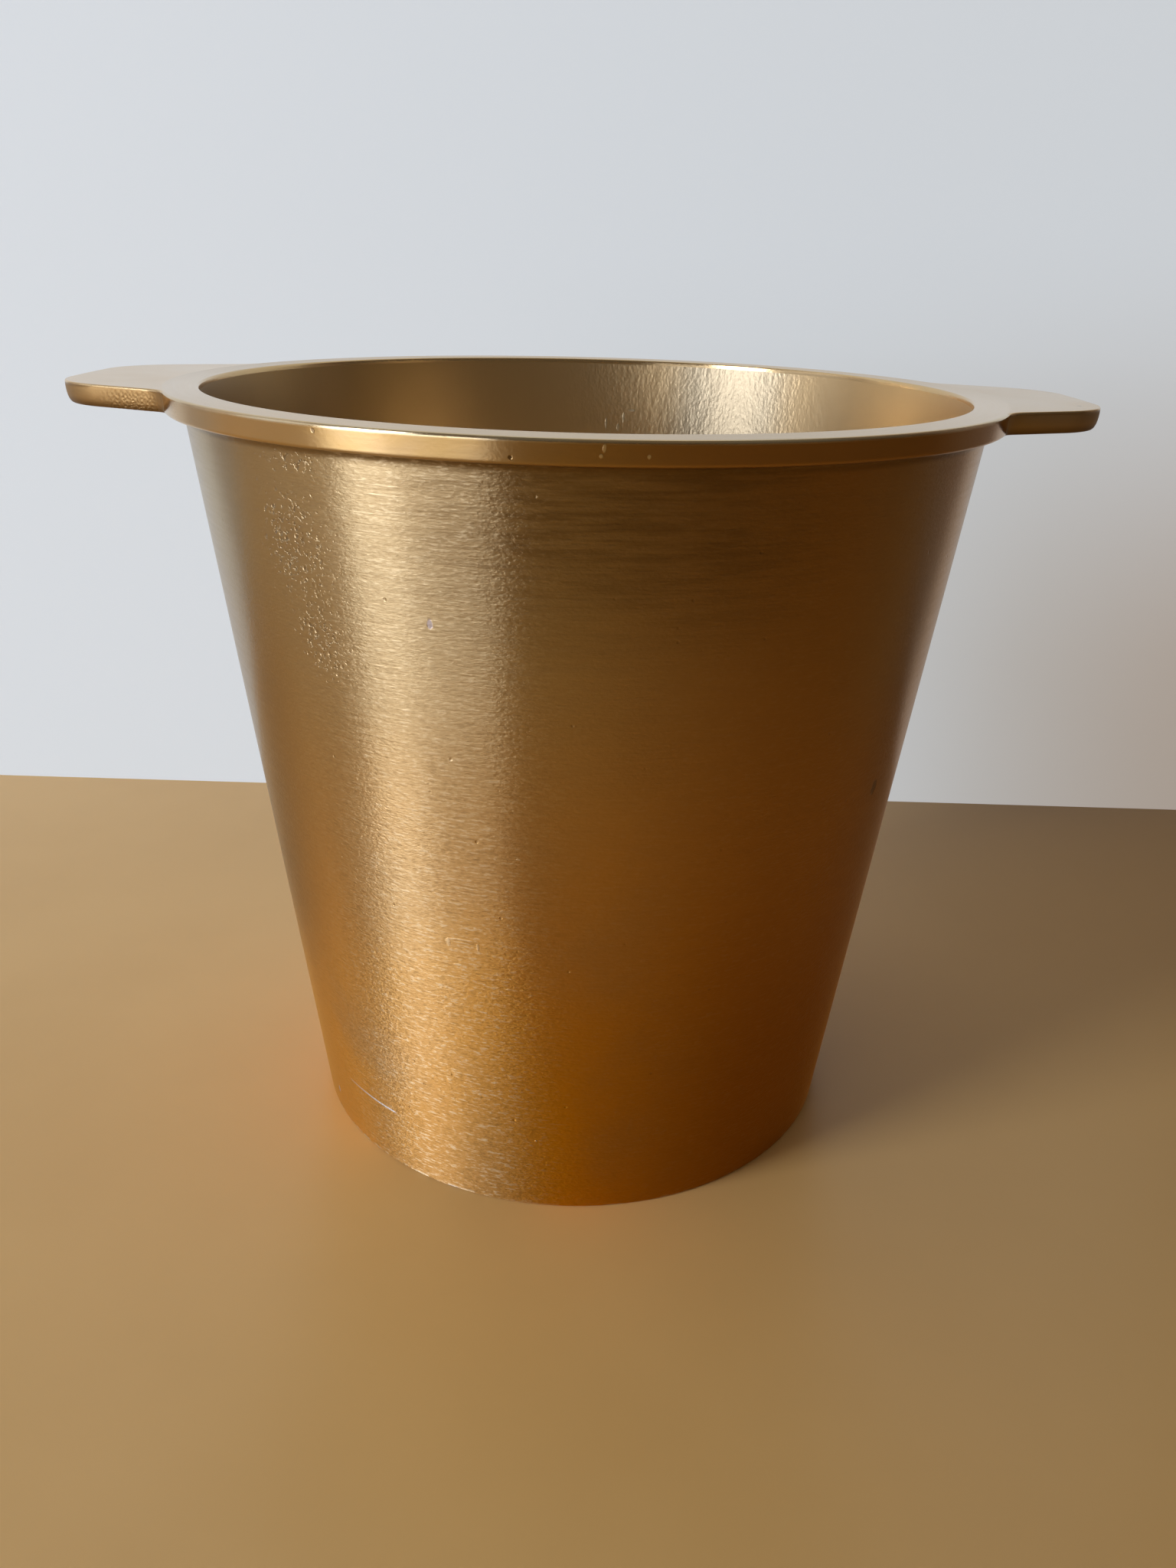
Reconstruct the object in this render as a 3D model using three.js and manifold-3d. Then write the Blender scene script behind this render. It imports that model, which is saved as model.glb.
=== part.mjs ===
// A champagne bucket: a tapered round bucket of gold-anodised cast aluminium, turned satin outside.
// Millimetres, +Z up. The origin is the centre of the foot ring's plane. The handles lie along X.
import * as THREE from "three";
import { mergeVertices } from "three/addons/utils/BufferGeometryUtils.js";
import Module from "manifold-3d";

// Driving dimensions
const HEIGHT = 200;
const RIM_RADIUS = 105;
const RIM_THICKNESS = 5.2;
const MOUTH_RADIUS = 96;
const BODY_TOP_RADIUS = 100;
const FOOT_RADIUS = 75;
const FLOOR_THICKNESS = 5;
const FOOT_RECESS = 1.2;

// Edges and corners of the turned body
const FOOT_EDGE = 0.8;
const FLOOR_CORNER = 8;
const COLLAR_DEPTH = 3;
const RIM_UNDER_FILLET = 2.2;
const RIM_DRAFT = 0.4;
const RIM_LOWER_EDGE = 0.8;
const RIM_UPPER_EDGE = 0.7;
const MOUTH_EDGE = 0.6;

// Handles: flat tongues, flush with the rim. The left one reaches a little further than the right.
const LEFT_REACH = 128.8;
const RIGHT_REACH = 126.4;
const HANDLE_END_HALF_WIDTH = 25.6;
const HANDLE_END_BULGE = 0.5;
const HANDLE_END_RADIUS = 200;
const HANDLE_CORNER = 21;
const HANDLE_TAPER = THREE.MathUtils.degToRad(24);
const ROOT_FILLET = 3;
const ROOT_RUN = 6;
const HANDLE_UPPER_EDGE = 0.4;
const HANDLE_UNDER_EDGE = 1.4;
const HANDLE_UNDER_HEIGHT = 4.2;
const HANDLE_GAP = 0.3;

// Facets
const TURNED_FACETS = 96;
const EDGE_STEPS = 3;
const CORNER_STEPS = 8;

// Levels and the two parallel cones of the wall
const RIM_UNDERSIDE = HEIGHT - RIM_THICKNESS;
const WALL_TOP = RIM_UNDERSIDE - COLLAR_DEPTH;
const FLOOR_LEVEL = FOOT_RECESS + FLOOR_THICKNESS;
const WALL_SLOPE = (BODY_TOP_RADIUS - FOOT_RADIUS) / RIM_UNDERSIDE;
const outside = (z) => FOOT_RADIUS + WALL_SLOPE * z;
const inside = (z) => MOUTH_RADIUS - WALL_SLOPE * (HEIGHT - z);

// The inside corner curves up from the floor and ends at the seat, tangent to the wall.
// Below the seat the wall is bored straight, and the floor fits that bore.
const SEAT_LEVEL = FLOOR_LEVEL + FLOOR_CORNER * (1 - Math.sin(Math.atan(WALL_SLOPE)));
const SEAT_RADIUS = inside(SEAT_LEVEL);

const wasm = await Module();
wasm.setup();

// One corner of an outline. A radius rounds it with a tangent arc of so many steps.
function corner(x, y, radius = 0, steps = EDGE_STEPS) {
  return { at: new THREE.Vector2(x, y), radius, steps };
}

// The points of the tangent arc that rounds a corner between its two neighbours.
function arcPoints({ at, radius, steps }, before, after) {
  const back = before.clone().sub(at).normalize();
  const ahead = after.clone().sub(at).normalize();
  const half = back.angleTo(ahead) / 2;
  const middle = back.clone().add(ahead).normalize();
  const centre = at.clone().addScaledVector(middle, radius / Math.sin(half));
  const tangent = radius / Math.tan(half);
  const start = at.clone().addScaledVector(back, tangent).sub(centre);
  const end = at.clone().addScaledVector(ahead, tangent).sub(centre);
  const sweep = Math.atan2(start.cross(end), start.dot(end));
  return Array.from({ length: steps + 1 }, (_, i) =>
    start.clone().rotateAround(new THREE.Vector2(), (sweep * i) / steps).add(centre));
}

// A closed outline through the corners, in order, each sharp or rounded.
function roundedOutline(corners) {
  return corners.flatMap((here, i) => {
    const before = corners.at(i - 1).at;
    const after = corners[(i + 1) % corners.length].at;
    return here.radius ? arcPoints(here, before, after) : [here.at];
  });
}

// A solid of revolution about Z. The profile holds radius and height, anticlockwise.
function turned(profile) {
  return new THREE.LatheGeometry(profile, TURNED_FACETS).rotateX(Math.PI / 2);
}

function closed(outline) {
  return [...outline, outline[0]];
}

// The conical wall, from the flat foot ring up to the rim's collar, with the bore for the floor.
function bucketWall() {
  return turned(closed(roundedOutline([
    corner(SEAT_RADIUS, 0),
    corner(outside(0), 0, FOOT_EDGE),
    corner(outside(WALL_TOP), WALL_TOP),
    corner(inside(WALL_TOP), WALL_TOP),
    corner(SEAT_RADIUS, SEAT_LEVEL),
  ])));
}

// The floor, with the rounded corner that runs up into the wall. Its underside lies above the foot ring.
function basePlate() {
  const middle = new THREE.Vector2(0, FLOOR_LEVEL);
  const seat = new THREE.Vector2(SEAT_RADIUS, SEAT_LEVEL);
  const bend = corner(inside(FLOOR_LEVEL), FLOOR_LEVEL, FLOOR_CORNER, CORNER_STEPS);
  return turned([
    new THREE.Vector2(0, FOOT_RECESS),
    new THREE.Vector2(SEAT_RADIUS, FOOT_RECESS),
    seat,
    ...arcPoints(bend, seat, middle).slice(1),
    middle,
  ]);
}

// The turned rim: a flat flange over a short collar, with a fillet under the flange.
function rimFlange() {
  return turned(closed(roundedOutline([
    corner(inside(WALL_TOP), WALL_TOP),
    corner(outside(WALL_TOP), WALL_TOP),
    corner(outside(RIM_UNDERSIDE), RIM_UNDERSIDE, RIM_UNDER_FILLET, CORNER_STEPS),
    corner(RIM_RADIUS - RIM_DRAFT, RIM_UNDERSIDE, RIM_LOWER_EDGE),
    corner(RIM_RADIUS, HEIGHT, RIM_UPPER_EDGE),
    corner(MOUTH_RADIUS, HEIGHT, MOUTH_EDGE),
  ])));
}

// A closed geometry as a solid that can be cut.
function solidOf(geometry) {
  geometry.deleteAttribute("normal");
  geometry.deleteAttribute("uv");
  const merged = mergeVertices(geometry);
  return new wasm.Manifold(new wasm.Mesh({
    numProp: 3,
    vertProperties: merged.getAttribute("position").array,
    triVerts: new Uint32Array(merged.index.array),
  }));
}

// A cut solid back as a geometry.
function geometryOf(solid) {
  const { vertProperties, triVerts } = solid.getMesh();
  const geometry = new THREE.BufferGeometry();
  geometry.setAttribute("position", new THREE.BufferAttribute(vertProperties, 3));
  geometry.setIndex(new THREE.BufferAttribute(triVerts, 1));
  return geometry;
}

// Half of a handle's plan, from its end back to a point well inside the rim.
// From the broad corner the side runs straight to the rim, and a fillet turns it along the rim's tangent.
function handleHalf(reach) {
  const end = new THREE.Vector2(reach - HANDLE_END_BULGE, HANDLE_END_HALF_WIDTH);
  const side = new THREE.Vector2(-Math.cos(HANDLE_TAPER), Math.sin(HANDLE_TAPER));
  const nearest = -end.dot(side);
  const length = nearest - Math.sqrt(nearest ** 2 - end.lengthSq() + RIM_RADIUS ** 2);
  const root = end.clone().addScaledVector(side, length);
  const tangent = new THREE.Vector2(-root.y, root.x).normalize();
  const ring = root.clone().addScaledVector(tangent, ROOT_RUN);
  const inner = ring.clone().multiplyScalar(MOUTH_RADIUS / RIM_RADIUS);
  return [
    corner(end.x, end.y, HANDLE_CORNER, CORNER_STEPS),
    corner(root.x, root.y, ROOT_FILLET, CORNER_STEPS),
    corner(ring.x, ring.y),
    corner(inner.x, inner.y),
  ];
}

// A handle's whole plan: the half, its mirror image and the slightly bowed end.
function handlePlan(reach) {
  const half = handleHalf(reach);
  const mirrored = half.map(({ at, radius, steps }) => corner(at.x, -at.y, radius, steps)).reverse();
  const tip = corner(reach, 0, HANDLE_END_RADIUS, EDGE_STEPS);
  return new THREE.Shape(roundedOutline([tip, ...half, ...mirrored]));
}

// A plate of the plan between two levels, its edges rounded in by "inset" over "rise".
function roundedPlate(plan, bottom, top, inset, rise) {
  const plate = new THREE.ExtrudeGeometry(plan, {
    depth: top - bottom - 2 * rise,
    bevelThickness: rise,
    bevelSize: inset,
    bevelOffset: -inset,
    bevelSegments: EDGE_STEPS + 1,
  });
  return solidOf(plate.translate(0, 0, bottom + rise));
}

// A handle: small round on its upper edge, deep soft round below, cut to stand against the rim.
function handle(reach, turn) {
  const plan = handlePlan(reach);
  const spare = HANDLE_UNDER_HEIGHT + RIM_THICKNESS;
  const upper = roundedPlate(plan, RIM_UNDERSIDE - spare, HEIGHT, HANDLE_UPPER_EDGE, HANDLE_UPPER_EDGE);
  const lower = roundedPlate(plan, RIM_UNDERSIDE, HEIGHT + spare, HANDLE_UNDER_EDGE, HANDLE_UNDER_HEIGHT);
  const rim = new THREE.CylinderGeometry(
    RIM_RADIUS + HANDLE_GAP, RIM_RADIUS + HANDLE_GAP, 2 * HEIGHT, TURNED_FACETS);
  const disc = solidOf(rim.rotateX(Math.PI / 2).translate(0, 0, HEIGHT));
  return geometryOf(upper.intersect(lower).subtract(disc)).rotateZ(turn);
}

// One named piece in its own anodised finish.
function piece(name, geometry, color, roughness) {
  const material = new THREE.MeshStandardMaterial({ color, roughness, metalness: 0.95 });
  const mesh = new THREE.Mesh(geometry, material);
  mesh.name = name;
  return mesh;
}

const bucket = new THREE.Group();
bucket.add(
  piece("bucket_wall", bucketWall(), 0xb08a4c, 0.38),
  piece("base_plate", basePlate(), 0x9c7a42, 0.5),
  piece("rim_flange", rimFlange(), 0xc29a5a, 0.34),
  piece("left_handle", handle(LEFT_REACH, Math.PI), 0xb98f4e, 0.42),
  piece("right_handle", handle(RIGHT_REACH, 0), 0xb98f4e, 0.42),
);

export default bucket;
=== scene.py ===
# %% [markdown]
# # A champagne bucket in gold-anodised cast aluminium
# The bucket is one casting. Its outside and its rim were turned on a lathe, its inside was left as it
# came out of the mould, and the whole was anodised gold. The packed model gives the true sizes.
# Each of its nodes is replaced here by a finer surface, worked out with numpy in the same frame,
# so that the rounded edges, the cast ripples and the tool marks can catch the light.

# %% Load the frame
import math

import bmesh
import bpy
import numpy as np
from mathutils import Matrix, Vector


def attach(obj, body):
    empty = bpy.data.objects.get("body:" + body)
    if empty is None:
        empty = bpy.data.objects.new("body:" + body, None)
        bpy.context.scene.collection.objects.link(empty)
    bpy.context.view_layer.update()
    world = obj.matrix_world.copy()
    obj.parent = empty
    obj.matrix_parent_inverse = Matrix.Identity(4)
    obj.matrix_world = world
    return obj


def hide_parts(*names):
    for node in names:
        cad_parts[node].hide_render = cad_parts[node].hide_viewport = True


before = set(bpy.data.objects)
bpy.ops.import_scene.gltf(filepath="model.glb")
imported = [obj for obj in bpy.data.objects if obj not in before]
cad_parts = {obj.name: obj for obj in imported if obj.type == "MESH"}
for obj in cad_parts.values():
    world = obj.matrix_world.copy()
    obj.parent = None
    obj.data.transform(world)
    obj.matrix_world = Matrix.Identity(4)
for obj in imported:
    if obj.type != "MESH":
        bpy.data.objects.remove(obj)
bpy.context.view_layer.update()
print("nodes:", ", ".join(sorted(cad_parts)))

# %% [markdown]
# ## The sizes
# The wall lies between two parallel cones, so two straight lines give its radius at any level.
# The same numbers shape the solids, which is why the new skins need no fitting. The rim is a
# fiftieth of a millimetre smaller, so that its finer facets stay inside the solid's box. The floor
# sits in the wall up to the level where its rounded corner meets the inner cone.

# %% Sizes of the turned body, in metres
HEIGHT = 0.200
RIM_RADIUS = 0.10498
RIM_THICKNESS = 0.0052
RIM_DRAFT = 0.0004
MOUTH_RADIUS = 0.096
BODY_TOP_RADIUS = 0.100
FOOT_RADIUS = 0.075
FOOT_RECESS = 0.0012
FLOOR_LEVEL = 0.0062
FLOOR_CORNER = 0.008
COLLAR_DEPTH = 0.003
MOUTH_EDGE = 0.0006
RIM_UNDERSIDE = HEIGHT - RIM_THICKNESS
WALL_TOP = RIM_UNDERSIDE - COLLAR_DEPTH
WALL_SLOPE = (BODY_TOP_RADIUS - FOOT_RADIUS) / RIM_UNDERSIDE


def outside(level):
    """Outer radius of the wall: a straight line from the foot to the rim."""
    return FOOT_RADIUS + WALL_SLOPE * level


def inside(level):
    """Inner radius of the wall: a parallel line that meets the mouth at full height."""
    return MOUTH_RADIUS - WALL_SLOPE * (HEIGHT - level)


WALL_LEAN = math.atan(WALL_SLOPE)
SEAT_LEVEL = FLOOR_LEVEL + FLOOR_CORNER * (1 - math.sin(WALL_LEAN))
SEAT_RADIUS = inside(SEAT_LEVEL)
print("wall thickness %.1f mm" % (1000 * (outside(0) - inside(0)) * math.cos(WALL_LEAN)))

# %% [markdown]
# ## The camera
# A camera is best made first, so that every later render shows the work from the same place.
# It stands close, a little above the rim and looks down, with a phone's wide lens. Three turns set its
# direction: about the upright axis, then the tilt, then a small roll. A look-at constraint could
# aim it too, but plain numbers stay put when the camera is moved for other views.

# %% Make the camera
CAMERA_AT = (0.00535, -0.3405, 0.2299)
CAMERA_TURN = math.radians(0.42)
CAMERA_TILT = math.radians(-22.44)
CAMERA_ROLL = 0.0268
LENS_LENGTH = 29.13
SENSOR_WIDTH = 36.0

lens = bpy.data.cameras.new("camera")
lens.lens = LENS_LENGTH
lens.sensor_width = SENSOR_WIDTH
lens.clip_start = 0.01
camera = bpy.data.objects.new("camera", lens)
aim = Matrix.Rotation(CAMERA_TURN, 4, "Z")
aim = aim @ Matrix.Rotation(math.pi / 2 + CAMERA_TILT, 4, "X")
aim = aim @ Matrix.Rotation(CAMERA_ROLL, 4, "Z")
camera.matrix_world = Matrix.Translation(CAMERA_AT) @ aim
bpy.context.scene.collection.objects.link(camera)
bpy.context.scene.camera = camera
print("camera %.3f m from the axis" % math.hypot(*CAMERA_AT[:2]))

# %% [markdown]
# ## Outlines with rounded corners
# Every section here is a few straight runs with small tangent arcs between them. Bevel modifiers
# could round the edges afterwards, but an arc in the outline has an exact radius and costs nothing.

# %% Round the corners of an outline
def unit(vector):
    """The vector divided by its own length."""
    return vector / np.linalg.norm(vector)


def arc(here, before, after, radius, steps):
    """Tangent arc at a corner: its centre lies on the bisector, at radius / sin(half the corner angle)."""
    back, ahead = unit(before - here), unit(after - here)
    middle = unit(back + ahead)
    half = math.acos(np.clip(back @ middle, -1, 1))
    centre = here + middle * radius / math.sin(half)
    start = here + back * radius / math.tan(half) - centre
    end = here + ahead * radius / math.tan(half) - centre
    sweep = math.atan2(start[0] * end[1] - start[1] * end[0], start @ end)
    turn = np.linspace(0, sweep, steps + 1)[:, None]
    return centre + np.cos(turn) * start + np.sin(turn) * np.array([-start[1], start[0]])


def rounded(corners):
    """Runs of a closed outline through (x, y, radius, steps) corners. A corner with no radius stays sharp."""
    places = np.array([corner[:2] for corner in corners])
    runs = []
    for i, (_, _, radius, steps) in enumerate(corners):
        after = places[(i + 1) % len(places)]
        runs.append(arc(places[i], places[i - 1], after, radius, steps) if radius else places[i][None])
    return runs


def between(start, end, shares):
    """Points at the given shares of the straight run from start to end."""
    return start + np.array(shares)[:, None] * (end - start)


sample = arc(np.zeros(2), np.array([1.0, 0.0]), np.array([0.0, 1.0]), 0.1, 4)
print("a quarter arc of 4 steps has", len(sample), "points")

# %% [markdown]
# ## From a grid of points to a closed skin
# A grid of points, turns by places along a section, becomes quads that join each point to its
# neighbours. The signed volume tells whether the faces look outwards, and turns them round if not.
# Smooth shading runs over the small steps of the arcs and stops at true edges. Each place along the
# section can have its own finish, because the inside of the casting isn't turned as the outside is.

# %% Skin a grid
def quads_of(turns, places, closed_turns, closed_section):
    """Corner numbers of the quads of a grid, with the last row joined to the first where it is closed."""
    u = np.arange(turns if closed_turns else turns - 1)[:, None]
    v = np.arange(places if closed_section else places - 1)[None, :]
    u2, v2 = (u + 1) % turns, (v + 1) % places
    corners = [u * places + v, u2 * places + v, u2 * places + v2, u * places + v2]
    return np.stack(np.broadcast_arrays(*corners), -1).reshape(-1, 4)


def signed_volume(points, quads):
    """A sixth of the sum of triple products over both triangles of each quad."""
    a, b, c, d = (points[quads[:, i]] for i in range(4))
    return (np.cross(b, c) * a).sum() / 6 + (np.cross(c, d) * a).sum() / 6


def weld(mesh):
    """Joins points that lie on each other, such as those on the axis, and drops faces without area."""
    shell = bmesh.new()
    shell.from_mesh(mesh)
    bmesh.ops.remove_doubles(shell, verts=shell.verts, dist=1e-7)
    bmesh.ops.dissolve_degenerate(shell, edges=shell.edges, dist=1e-8)
    shell.to_mesh(mesh)
    shell.free()


TRUE_EDGE = math.radians(40)


def skin(name, grid, closed_turns=True, closed_section=True, finishes=None):
    """Closed mesh object of a grid (turns, places, 3), faces outwards, with one finish number per place."""
    points = grid.reshape(-1, 3)
    quads = quads_of(*grid.shape[:2], closed_turns, closed_section)
    if signed_volume(points, quads) < 0:
        quads = quads[:, ::-1]
    mesh = bpy.data.meshes.new(name)
    mesh.vertices.add(len(points))
    mesh.vertices.foreach_set("co", points.ravel())
    mesh.loops.add(quads.size)
    mesh.loops.foreach_set("vertex_index", quads.ravel())
    mesh.polygons.add(len(quads))
    mesh.polygons.foreach_set("loop_start", np.arange(0, quads.size, 4))
    if finishes is not None:
        strips = len(quads) // len(finishes)
        mesh.polygons.foreach_set("material_index", np.tile(finishes, strips))
    mesh.update(calc_edges=True)
    if not (closed_turns and closed_section):
        weld(mesh)
    mesh.shade_smooth()
    mesh.set_sharp_from_angle(angle=TRUE_EDGE)
    made = bpy.data.objects.new(name, mesh)
    bpy.context.scene.collection.objects.link(made)
    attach(made, "root")
    print("%s: %d points, %d faces, %.1f cm3" % (
        name, len(mesh.vertices), len(mesh.polygons), 1e6 * abs(signed_volume(points, quads))))
    return made


TURNS = 640
turn = np.arange(TURNS) * 2 * np.pi / TURNS


def revolve(radius, level):
    """Point (turn, place) of a turned surface: (r cos turn, r sin turn, z)."""
    radius = np.broadcast_to(radius, (TURNS, np.shape(level)[-1]))
    level = np.broadcast_to(level, radius.shape)
    return np.stack([radius * np.cos(turn)[:, None], radius * np.sin(turn)[:, None], level], -1)


# %% [markdown]
# ## Unevenness of a casting
# No cast or hand-held surface is a perfect cone. A sum of a few dozen plane waves with random
# directions and phases gives soft hills at a chosen size. On the body each wave has a whole number of
# crests round the bucket, so that the pattern closes on itself. A seed keeps it the same each time.

# %% Sum of waves
def waves(along, level, seed, shortest, longest, upright=1.0, girth=None, count=48):
    """Sum of cos(k along + m level + phase), scaled to about unit height. "upright" stretches it along z."""
    rng = np.random.default_rng(seed)
    length = shortest * (longest / shortest) ** rng.random(count)
    heading = 2 * np.pi * rng.random(count)
    phase = 2 * np.pi * rng.random(count)
    crests = np.cos(heading) / length
    if girth:
        crests = np.round(crests * girth) / girth
    rises = np.sin(heading) / (length * upright)
    total = 0.0
    for k, m, p, size in zip(crests, rises, phase, length / longest):
        total = total + size * np.cos(2 * np.pi * (k * along + m * level) + p)
    return total / math.sqrt(0.5 * ((length / longest) ** 2).sum())


GIRTH = 2 * np.pi * BODY_TOP_RADIUS
round_body = (BODY_TOP_RADIUS * turn)[:, None]
RIPPLE_DEPTH = 0.00001
WOBBLE_DEPTH = 0.00001
ROUGH_AT = math.radians(64)
ROUGH_SPREAD = math.radians(22)


def cast_ripple(level):
    """Cast skin inside: upright ripples, strongest on the far right side of the mouth, gone at its edge."""
    rough = 0.25 + 0.75 * np.exp(-((turn - ROUGH_AT) / ROUGH_SPREAD) ** 2)
    fade = np.clip((HEIGHT - MOUTH_EDGE - level) / 0.004, 0, 1) * np.clip((level - SEAT_LEVEL) / 0.01, 0, 1)
    ripples = waves(round_body, level[None], seed=7, shortest=0.0035, longest=0.009, upright=1.8, girth=GIRTH)
    return RIPPLE_DEPTH * rough[:, None] * fade * ripples


def turned_wobble(level):
    """Outside, a much longer unevenness that only bends the reflections a little, gone at the rim."""
    fade = np.clip((WALL_TOP - level) / 0.02, 0, 1) * np.clip(level / 0.01, 0, 1)
    hills = waves(round_body, level[None], seed=3, shortest=0.02, longest=0.06, upright=1.5, girth=GIRTH)
    return WOBBLE_DEPTH * fade * hills


print("inside ripple up to %.3f mm" % (1000 * np.abs(cast_ripple(np.linspace(0.02, 0.19, 60))).max()))

# %% [markdown]
# ## The wall
# The wall's section is a closed loop: the flat foot ring, its small rounded edge, the turned outer
# cone, the joint with the rim, the cast inner cone and the straight bore round the floor. Turning the
# loop round the axis gives the wall. Rows stand close together at the joint, so that shading
# runs over it without a line.

# %% Make the wall
TURNED, CAST = 0, 1
FOOT_EDGE = 0.0008
JOINT_ROWS = WALL_TOP - np.array([0.0012, 0.0005, 0.0002, 0.0])

foot_edge = arc(np.array([FOOT_RADIUS, 0.0]), np.array([SEAT_RADIUS, 0.0]),
                np.array([outside(0.1), 0.1]), FOOT_EDGE, 6)
outer_levels = np.concatenate([np.linspace(foot_edge[-1, 1], WALL_TOP - 0.003, 42)[1:], JOINT_ROWS])
inner_levels = np.concatenate([JOINT_ROWS[::-1], np.linspace(WALL_TOP - 0.0025, SEAT_LEVEL, 88)])
bore_levels = np.linspace(SEAT_LEVEL, 0, 5)[1:]

flat = np.zeros((TURNS, 1))
wall_levels = np.concatenate([foot_edge[:, 1], outer_levels, inner_levels, bore_levels])
wall_radius = np.concatenate([
    flat + foot_edge[:, 0],
    outside(outer_levels) + turned_wobble(outer_levels),
    inside(inner_levels) + cast_ripple(inner_levels),
    flat + np.full(len(bore_levels), SEAT_RADIUS),
], axis=1)
wall_finishes = np.full(len(wall_levels), TURNED)
wall_finishes[len(foot_edge) + len(outer_levels):-len(bore_levels)] = CAST
wall = skin("bucket_wall_skin", revolve(wall_radius, wall_levels), finishes=wall_finishes)
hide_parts("bucket_wall")

# %% [markdown]
# ## The rim
# The rim is a flat flange over a short collar. Its section is a loop too: the collar, the fillet under the
# flange, a soft lower edge, a face with a little draft, a crisper upper edge, the flat top, the edge of
# the mouth and the cast inside. Extra rows beside each arc keep the flats flat. The collar has the
# wall's finish, the flange its own and the inside the cast one.

# %% Make the rim
FLANGE, COLLAR, RIM_CAST = 0, 1, 2
RIM_UNDER_FILLET = 0.0022
RIM_LOWER_EDGE = 0.0008
RIM_UPPER_EDGE = 0.0007

_, collar_run, fillet_run, lower_run, upper_run, mouth_run = rounded([
    (inside(WALL_TOP), WALL_TOP, 0, 0),
    (outside(WALL_TOP), WALL_TOP, 0, 0),
    (outside(RIM_UNDERSIDE), RIM_UNDERSIDE, RIM_UNDER_FILLET, 12),
    (RIM_RADIUS - RIM_DRAFT, RIM_UNDERSIDE, RIM_LOWER_EDGE, 8),
    (RIM_RADIUS, HEIGHT, RIM_UPPER_EDGE, 8),
    (MOUTH_RADIUS, HEIGHT, MOUTH_EDGE, 8),
])
collar_levels = WALL_TOP + np.array([0.0002, 0.0005])
collar_part = np.concatenate([collar_run, np.stack([outside(collar_levels), collar_levels], 1), fillet_run])
flange_part = np.concatenate([
    between(fillet_run[-1], lower_run[0], [0.1, 0.9]), lower_run,
    between(lower_run[-1], upper_run[0], [0.06, 0.35, 0.65, 0.94]), upper_run,
    between(upper_run[-1], mouth_run[0], [0.012, 0.25, 0.5, 0.75, 0.988]), mouth_run,
])
mouth_levels = np.concatenate([np.linspace(mouth_run[-1, 1], WALL_TOP + 0.0012, 9)[1:],
                               WALL_TOP + np.array([0.0005, 0.0002, 0.0])])
rim_outline = np.concatenate([collar_part, flange_part])
rim_levels = np.concatenate([rim_outline[:, 1], mouth_levels])
mouth_radius = inside(mouth_levels) + cast_ripple(mouth_levels)
rim_radius = np.concatenate([flat + rim_outline[:, 0], mouth_radius], axis=1)
rim_finishes = np.repeat([COLLAR, FLANGE, RIM_CAST], [len(collar_part), len(flange_part), len(mouth_levels)])
rim = skin("rim_flange_skin", revolve(rim_radius, rim_levels), finishes=rim_finishes)
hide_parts("rim_flange")

# %% [markdown]
# ## The floor
# The floor fills the bore of the wall, and a rounded corner carries it up into the cone. It is a turned
# surface as well, but its section runs from axis to axis, so the many points on the axis are welded
# into one.

# %% Make the floor
FLOOR_CAST, UNDERSIDE = 0, 1
bend = arc(np.array([inside(FLOOR_LEVEL), FLOOR_LEVEL]), np.array([SEAT_RADIUS, SEAT_LEVEL]),
           np.array([0.0, FLOOR_LEVEL]), FLOOR_CORNER, 12)
floor_radii = np.linspace(bend[-1, 0], 0, 30)[1:]
under_part = np.concatenate([
    np.stack([np.linspace(0, SEAT_RADIUS, 12), np.full(12, FOOT_RECESS)], 1),
    np.stack([np.full(3, SEAT_RADIUS), np.linspace(FOOT_RECESS, SEAT_LEVEL, 5)[1:4]], 1),
])
upper_part = np.concatenate([bend, np.stack([floor_radii, np.full(len(floor_radii), FLOOR_LEVEL)], 1)])
floor_outline = np.concatenate([under_part, upper_part])
floor_finishes = np.repeat([UNDERSIDE, FLOOR_CAST], [len(under_part), len(upper_part) - 1])
floor_skin = skin("base_plate_skin", revolve(floor_outline[:, 0], floor_outline[:, 1]),
                  closed_section=False, finishes=floor_finishes)
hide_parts("base_plate")

# %% [markdown]
# ## The handles
# Each handle is a flat tongue, flush with the rim's top, with a slightly bowed end, broad corners,
# sides that spread towards the rim and a hollow fillet where it grows out of it. Its plan is one half,
# mirrored. Seen from the axis the plan hides no part of itself, so each point of it can carry one
# section. The left handle reaches a little further than the right one. The fillet is broader than that of
# the solid, which it leaves by little more than half a millimetre at most.

# %% Plan of a handle
END_HALF_WIDTH = 0.0256
END_BULGE = 0.0005
HANDLE_CORNER = 0.021
SIDE_TAPER = math.radians(24)
ROOT_FILLET = 0.010
ROOT_CIRCLE = RIM_RADIUS - 0.00005
END_RADIUS = 0.200
LEFT_REACH = 0.12878
RIGHT_REACH = 0.12638


def root_fillet(start):
    """Arc tangent to the side and to a circle just inside the rim: its centre lies a radius from each."""
    side = np.array([-math.cos(SIDE_TAPER), math.sin(SIDE_TAPER)])
    away = np.array([math.sin(SIDE_TAPER), math.cos(SIDE_TAPER)])
    offset = start + away * ROOT_FILLET
    near = offset @ side
    reach = -near - math.sqrt(near ** 2 - offset @ offset + (ROOT_CIRCLE + ROOT_FILLET) ** 2)
    centre = offset + side * reach
    first, last = math.atan2(*-away[::-1]), math.atan2(*-centre[::-1])
    angle = np.linspace(first, last, 33)[:, None]
    return centre + ROOT_FILLET * np.concatenate([np.cos(angle), np.sin(angle)], 1)


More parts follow.
